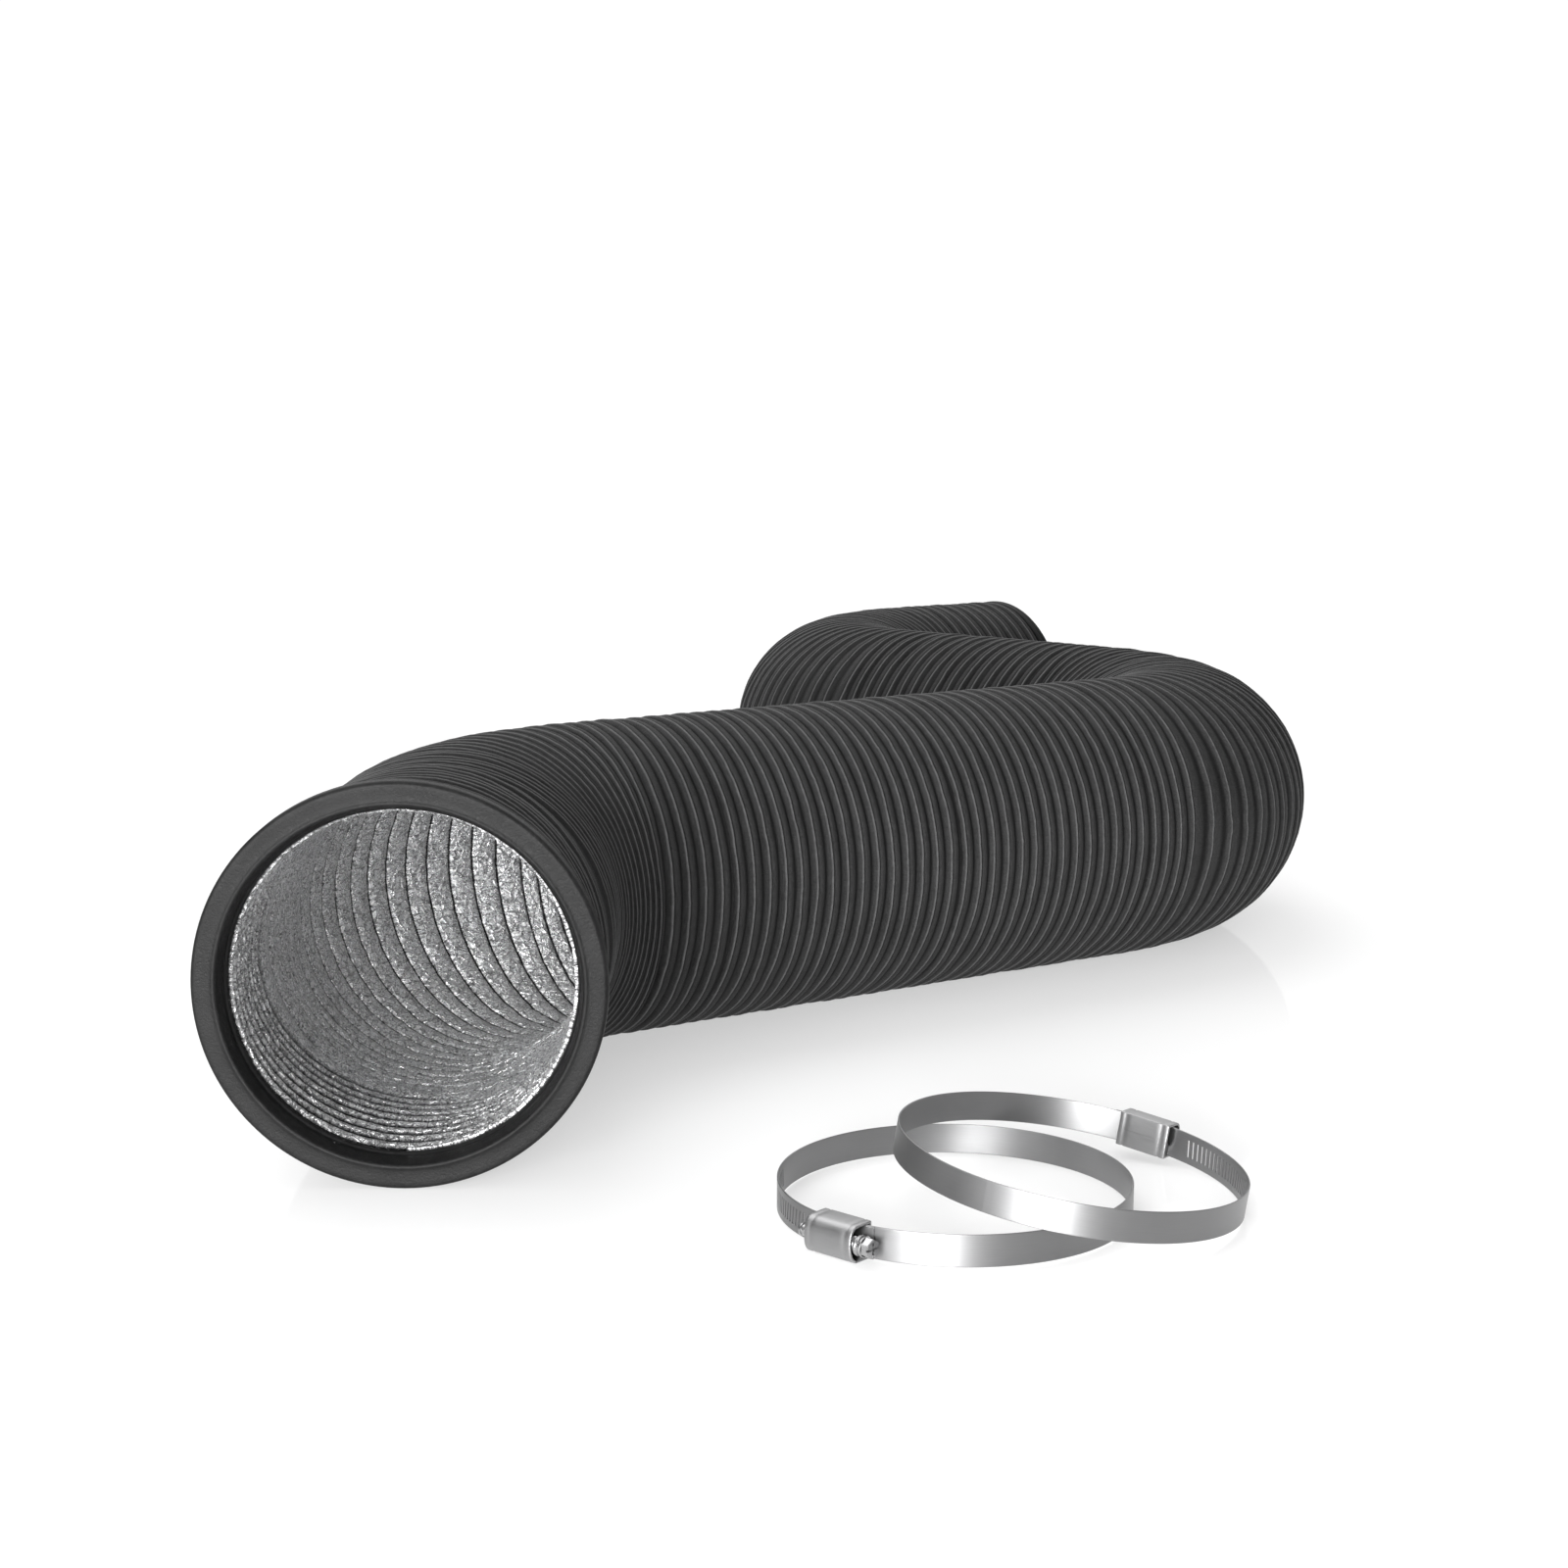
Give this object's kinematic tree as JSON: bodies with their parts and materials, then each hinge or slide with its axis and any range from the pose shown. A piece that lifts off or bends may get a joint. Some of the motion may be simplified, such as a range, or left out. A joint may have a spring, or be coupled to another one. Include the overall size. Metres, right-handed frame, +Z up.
{
  "type": "flexible air duct",
  "caption": "Ribbed black flexible ventilation duct with a foil liner and moulded mouth collar, lying in an S curve beside its worm-drive hose clamps.",
  "frame": {"origin": "on the floor, under the middle of the assembly's bounding box", "axes": "+Z up; the duct's mouth faces -Y, and its tail points to +X +Y; +X runs from the mouth towards the clamps"},
  "size_m": [0.5934, 1.1926, 0.18],
  "materials": {
    "jacket": "matte black PVC-coated cloth, fine cross wrinkles between the wire's ribs",
    "collar": "satin dark grey moulded plastic",
    "wire": "drawn spring steel wire",
    "liner": "crinkled bright aluminium foil",
    "band": "satin stainless strip",
    "housing": "satin stainless pressing",
    "screw": "turned stainless steel"
  },
  "bodies": {
    "stretch_1": {"jacket_1": "jacket", "wire_helix_1": "wire", "foil_liner_1": "liner", "mouth_collar": "collar", "pleated_cuff": "jacket"},
    "stretch_2": {"jacket_2a": "jacket", "jacket_2b": "jacket", "wire_helix_2": "wire", "foil_liner_2": "liner"},
    "stretch_3": {"jacket_3a": "jacket", "jacket_3b": "jacket", "wire_helix_3": "wire", "foil_liner_3": "liner"},
    "stretch_4": {"jacket_4": "jacket", "wire_helix_4": "wire", "foil_liner_4": "liner"},
    "stretch_5": {"jacket_5a": "jacket", "jacket_5b": "jacket", "jacket_5c": "jacket", "wire_helix_5": "wire", "foil_liner_5": "liner"},
    "stretch_6": {"jacket_6a": "jacket", "jacket_6b": "jacket", "jacket_6c": "jacket", "wire_helix_6": "wire", "foil_liner_6": "liner"},
    "stretch_7": {"jacket_7a": "jacket", "jacket_7b": "jacket", "jacket_7c": "jacket", "wire_helix_7": "wire", "foil_liner_7": "liner"},
    "stretch_8": {"jacket_8a": "jacket", "jacket_8b": "jacket", "jacket_8c": "jacket", "wire_helix_8": "wire", "foil_liner_8": "liner", "tail_end_ring": "collar"},
    "clamp_a": {"clamp_a_head_band": "band", "clamp_a_saddle": "housing", "clamp_a_housing": "housing"},
    "clamp_a_loop": {"clamp_a_slotted_band": "band"},
    "clamp_a_worm": {"clamp_a_screw": "screw"},
    "clamp_b": {"clamp_b_head_band": "band", "clamp_b_saddle": "housing", "clamp_b_housing": "housing"},
    "clamp_b_loop": {"clamp_b_slotted_band": "band"},
    "clamp_b_worm": {"clamp_b_screw": "screw"}
  },
  "joints": [
    {"name": "mouth_lift", "type": "hinge", "parent": "stretch_2", "child": "stretch_1", "pos_m": [-0.20666, -0.42698, 0.0887], "axis": [-1, 0, 0], "range_deg": [0, 30], "deforming": ["jacket_1", "wire_helix_1", "foil_liner_1", "pleated_cuff"]},
    {"name": "bend_1_open", "type": "hinge", "parent": "stretch_3", "child": "stretch_2", "pos_m": [-0.19102, -0.28142, 0.085], "axis": [0, 0, -1], "range_deg": [-15, 45], "deforming": ["jacket_2a", "jacket_2b", "wire_helix_2", "foil_liner_2"]},
    {"name": "run_1_turn", "type": "hinge", "parent": "stretch_3", "child": "stretch_4", "pos_m": [-0.05147, -0.17216, 0.085], "axis": [0, 0, 1], "range_deg": [-20, 20], "deforming": ["jacket_3a", "jacket_3b", "wire_helix_3", "foil_liner_3"]},
    {"name": "run_1_stretch", "type": "slide", "parent": "stretch_4", "child": "stretch_5", "axis": [0.8387, 0.5446, 0], "range_m": [-0.04, 0.08], "deforming": ["jacket_4", "wire_helix_4", "foil_liner_4"]},
    {"name": "bend_2_open", "type": "hinge", "parent": "stretch_5", "child": "stretch_6", "pos_m": [0.2119, 0.05859, 0.085], "axis": [0, 0, -1], "range_deg": [-15, 35], "deforming": ["jacket_5a", "jacket_5b", "jacket_5c", "wire_helix_5", "foil_liner_5"]},
    {"name": "run_2_lift", "type": "hinge", "parent": "stretch_6", "child": "stretch_7", "pos_m": [0.11012, 0.21762, 0.085], "axis": [0.6691, 0.7431, 0], "range_deg": [0, 25], "deforming": ["jacket_6a", "jacket_6b", "jacket_6c", "wire_helix_6", "foil_liner_6"]},
    {"name": "bend_3_open", "type": "hinge", "parent": "stretch_7", "child": "stretch_8", "pos_m": [0.00768, 0.37829, 0.085], "axis": [0, 0, 1], "range_deg": [-15, 45], "deforming": ["jacket_7a", "jacket_7b", "jacket_7c", "wire_helix_7", "foil_liner_7", "jacket_8a", "jacket_8b", "jacket_8c", "wire_helix_8", "foil_liner_8"]},
    {"name": "clamp_a_lift", "type": "slide", "parent": "stretch_3", "child": "clamp_a", "axis": [0, 0, 1], "range_m": [0, 0.15]},
    {"name": "clamp_a_screw_turn", "type": "hinge", "parent": "clamp_a", "child": "clamp_a_worm", "pos_m": [-0.02117, -0.58039, 0.00787], "axis": [-0.7547, 0.6561, 0], "range_deg": [-720, 2880]},
    {"name": "clamp_a_loop_close", "type": "hinge", "parent": "clamp_a", "child": "clamp_a_loop", "pos_m": [0.08068, -0.46323, 0.00678], "axis": [0.0046, 0.0053, 1], "range_deg": [-2.1, 8.5], "deforming": ["clamp_a_slotted_band"]},
    {"name": "clamp_b_lift", "type": "slide", "parent": "clamp_a", "child": "clamp_b", "axis": [0, 0, 1], "range_m": [0, 0.1]},
    {"name": "clamp_b_screw_turn", "type": "hinge", "parent": "clamp_b", "child": "clamp_b_worm", "pos_m": [0.12514, -0.44957, 0.0114], "axis": [0.8193, -0.5592, -0.1268], "range_deg": [-720, 2880]},
    {"name": "clamp_b_loop_close", "type": "hinge", "parent": "clamp_b", "child": "clamp_b_loop", "pos_m": [0.03935, -0.57828, 0.02468], "axis": [0.153, 0, 0.9882], "range_deg": [-2.1, 8.5], "deforming": ["clamp_b_slotted_band"]}
  ],
  "couplings": [
    {"joint": "clamp_a_screw_turn", "follows": "clamp_a_loop_close", "ratio": 337.27},
    {"joint": "clamp_b_screw_turn", "follows": "clamp_b_loop_close", "ratio": 337.27}
  ]
}
